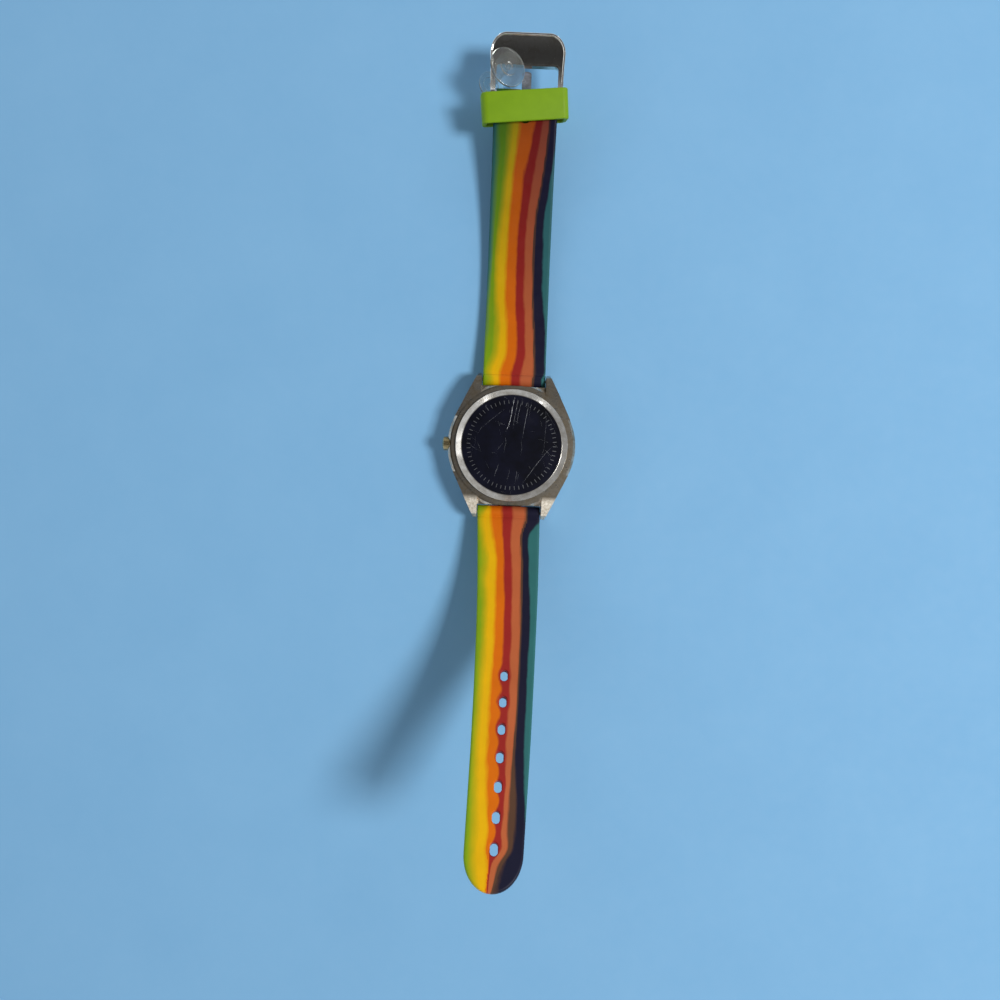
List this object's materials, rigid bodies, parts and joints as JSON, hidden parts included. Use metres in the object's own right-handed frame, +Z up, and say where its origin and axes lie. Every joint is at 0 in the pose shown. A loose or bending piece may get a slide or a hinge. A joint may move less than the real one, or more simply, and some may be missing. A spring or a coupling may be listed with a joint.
{
  "type": "child's wristwatch",
  "caption": "Child's quartz wristwatch lying face down, with a round plated case, a fluted crown, a rainbow striped strap, a pin buckle, a lime keeper and a clear tag button.",
  "frame": {"origin": "centre of the crystal's outer face, on the table", "axes": "+Z up through the watch from crystal to caseback, +Y towards the buckle, crown towards -X"},
  "size_m": [0.0338, 0.1961, 0.0443],
  "materials": {
    "plated_metal": "worn bright plating",
    "dark_back": "dark polished, scratched",
    "crystal_glass": "clear",
    "seal": "matt",
    "white_seal": "matt",
    "dial_white": "matt paint",
    "dial_ink": "gloss paint",
    "second_red": "gloss paint",
    "holder_white": "moulded",
    "nickel": "nickel plated",
    "small_steel": "ground",
    "wheel_brass": "polished",
    "cell_steel": "polished",
    "board_green": "solder mask",
    "chip_black": "moulded",
    "can_metal": "drawn",
    "copper_wire": "enamelled",
    "soft_iron": "ground",
    "strap_rainbow": "striped, satin",
    "keeper_lime": "satin",
    "tag_clear": "clear, moulded"
  },
  "bodies": {
    "case": {"case_body": "plated_metal", "bezel": "plated_metal", "crystal": "crystal_glass", "crystal_gasket": "white_seal", "caseback": "dark_back", "caseback_gasket": "seal", "crown_tube": "plated_metal", "dial": "dial_white", "hour_markers": "dial_ink", "movement_holder": "holder_white", "main_plate": "nickel", "train_bridge": "nickel", "bridge_screws": "small_steel", "battery": "cell_steel", "battery_clip": "wheel_brass", "circuit_board": "board_green", "quartz_can": "can_metal", "chip": "chip_black", "coil_core": "soft_iron", "coil_winding": "copper_wire", "stator": "soft_iron", "spring_bar_12": "small_steel", "spring_12": "small_steel", "spring_bar_6": "small_steel", "spring_6": "small_steel"},
    "seconds": {"fourth_wheel": "wheel_brass", "second_hand": "second_red"},
    "minutes": {"centre_wheel": "wheel_brass", "cannon_pinion": "wheel_brass", "minute_hand": "dial_ink"},
    "hours": {"hour_wheel": "wheel_brass", "hour_hand": "dial_ink"},
    "rotor": {"rotor": "soft_iron"},
    "fifth": {"fifth_wheel": "wheel_brass"},
    "third": {"third_wheel": "wheel_brass"},
    "minute_works": {"minute_wheel": "wheel_brass"},
    "setting": {"setting_wheel": "wheel_brass"},
    "clutch": {"clutch_wheel": "wheel_brass"},
    "crown": {"crown": "plated_metal", "crown_gasket": "seal", "setting_stem": "small_steel"},
    "lever": {"setting_lever": "small_steel"},
    "strap_12": {"buckle_strap": "strap_rainbow"},
    "strap_6": {"hole_strap": "strap_rainbow"},
    "keeper": {"keeper": "keeper_lime"},
    "buckle": {"buckle_frame": "plated_metal", "buckle_bar": "plated_metal"},
    "tongue": {"buckle_tongue": "plated_metal"},
    "tag": {"tag_stud": "tag_clear", "tag_cap": "tag_clear"},
    "tip_12_left": {"tip_12_left": "small_steel"},
    "tip_12_right": {"tip_12_right": "small_steel"},
    "tip_6_left": {"tip_6_left": "small_steel"},
    "tip_6_right": {"tip_6_right": "small_steel"}
  },
  "joints": [
    {"name": "strap_12_hinge", "type": "hinge", "parent": "case", "child": "strap_12", "pos_m": [0, 0.0169, 0.00385], "axis": [1, 0, 0], "range_deg": [-10, 80]},
    {"name": "strap_6_hinge", "type": "hinge", "parent": "case", "child": "strap_6", "pos_m": [0, -0.0169, 0.00385], "axis": [-1, 0, 0], "range_deg": [-10, 65]},
    {"name": "keeper_slide", "type": "hinge", "parent": "strap_12", "child": "keeper", "pos_m": [0, 0.04108, 0.14682], "axis": [-1, 0, 0], "range_deg": [0, 24]},
    {"name": "buckle_hinge", "type": "hinge", "parent": "strap_12", "child": "buckle", "pos_m": [0, 0.08755, 0.00947], "axis": [1, 0, 0], "range_deg": [-6, 20]},
    {"name": "tongue_hinge", "type": "hinge", "parent": "buckle", "child": "tongue", "pos_m": [0, 0.08755, 0.00947], "axis": [1, 0, 0], "range_deg": [-8, 24]},
    {"name": "tag_spin", "type": "hinge", "parent": "buckle", "child": "tag", "pos_m": [-0.00695, 0.0925, 0.00797], "axis": [0.4384, 0, 0.8988], "continuous": true},
    {"name": "crown_turn", "type": "hinge", "parent": "case", "child": "clutch", "pos_m": [-0.007, 0, 0.0049], "axis": [-1, 0, 0], "continuous": true},
    {"name": "crown_pull", "type": "slide", "parent": "clutch", "child": "crown", "axis": [-1, 0, 0], "range_m": [0, 0.0009]},
    {"name": "lever_turn", "type": "hinge", "parent": "case", "child": "lever", "pos_m": [-0.00823, 0.0019, 0.0052], "axis": [0, 0, -1], "range_deg": [0, 27.2]},
    {"name": "second_turn", "type": "hinge", "parent": "case", "child": "seconds", "pos_m": [0, 0, 0.005], "axis": [0, 0, 1], "continuous": true},
    {"name": "minute_turn", "type": "hinge", "parent": "case", "child": "minutes", "pos_m": [0, 0, 0.005], "axis": [0, 0, 1], "continuous": true},
    {"name": "hour_turn", "type": "hinge", "parent": "case", "child": "hours", "pos_m": [0, 0, 0.005], "axis": [0, 0, 1], "continuous": true},
    {"name": "rotor_turn", "type": "hinge", "parent": "case", "child": "rotor", "pos_m": [-0.00248, -0.00429, 0.005], "axis": [0, 0, 1], "continuous": true},
    {"name": "fifth_turn", "type": "hinge", "parent": "case", "child": "fifth", "pos_m": [-0.00133, -0.0023, 0.005], "axis": [0, 0, 1], "continuous": true},
    {"name": "third_turn", "type": "hinge", "parent": "case", "child": "third", "pos_m": [0, 0.00255, 0.005], "axis": [0, 0, 1], "continuous": true},
    {"name": "minute_works_turn", "type": "hinge", "parent": "case", "child": "minute_works", "pos_m": [-0.00224, 0, 0.005], "axis": [0, 0, 1], "continuous": true},
    {"name": "setting_turn", "type": "hinge", "parent": "case", "child": "setting", "pos_m": [-0.00504, 0, 0.005], "axis": [0, 0, 1], "continuous": true},
    {"name": "tip_12_left_push", "type": "slide", "parent": "case", "child": "tip_12_left", "axis": [1, 0, 0], "range_m": [0, 0.001], "stiffness_N_per_m": 400, "deforming": ["spring_12"]},
    {"name": "tip_12_right_push", "type": "slide", "parent": "case", "child": "tip_12_right", "axis": [-1, 0, 0], "range_m": [0, 0.001], "stiffness_N_per_m": 400, "deforming": ["spring_12"]},
    {"name": "tip_6_left_push", "type": "slide", "parent": "case", "child": "tip_6_left", "axis": [1, 0, 0], "range_m": [0, 0.001], "stiffness_N_per_m": 400, "deforming": ["spring_6"]},
    {"name": "tip_6_right_push", "type": "slide", "parent": "case", "child": "tip_6_right", "axis": [-1, 0, 0], "range_m": [0, 0.001], "stiffness_N_per_m": 400, "deforming": ["spring_6"]}
  ],
  "couplings": [
    {"joint": "lever_turn", "follows": "crown_pull", "rad_per_m": 526.32},
    {"joint": "fifth_turn", "follows": "second_turn", "ratio": -5},
    {"joint": "rotor_turn", "follows": "second_turn", "ratio": 30},
    {"joint": "third_turn", "follows": "second_turn", "ratio": -0.13333},
    {"joint": "minute_turn", "follows": "second_turn", "ratio": 0.016667},
    {"joint": "minute_works_turn", "follows": "second_turn", "ratio": -0.0055556},
    {"joint": "hour_turn", "follows": "second_turn", "ratio": 0.0013889},
    {"joint": "setting_turn", "follows": "second_turn", "ratio": 0.0083333}
  ]
}
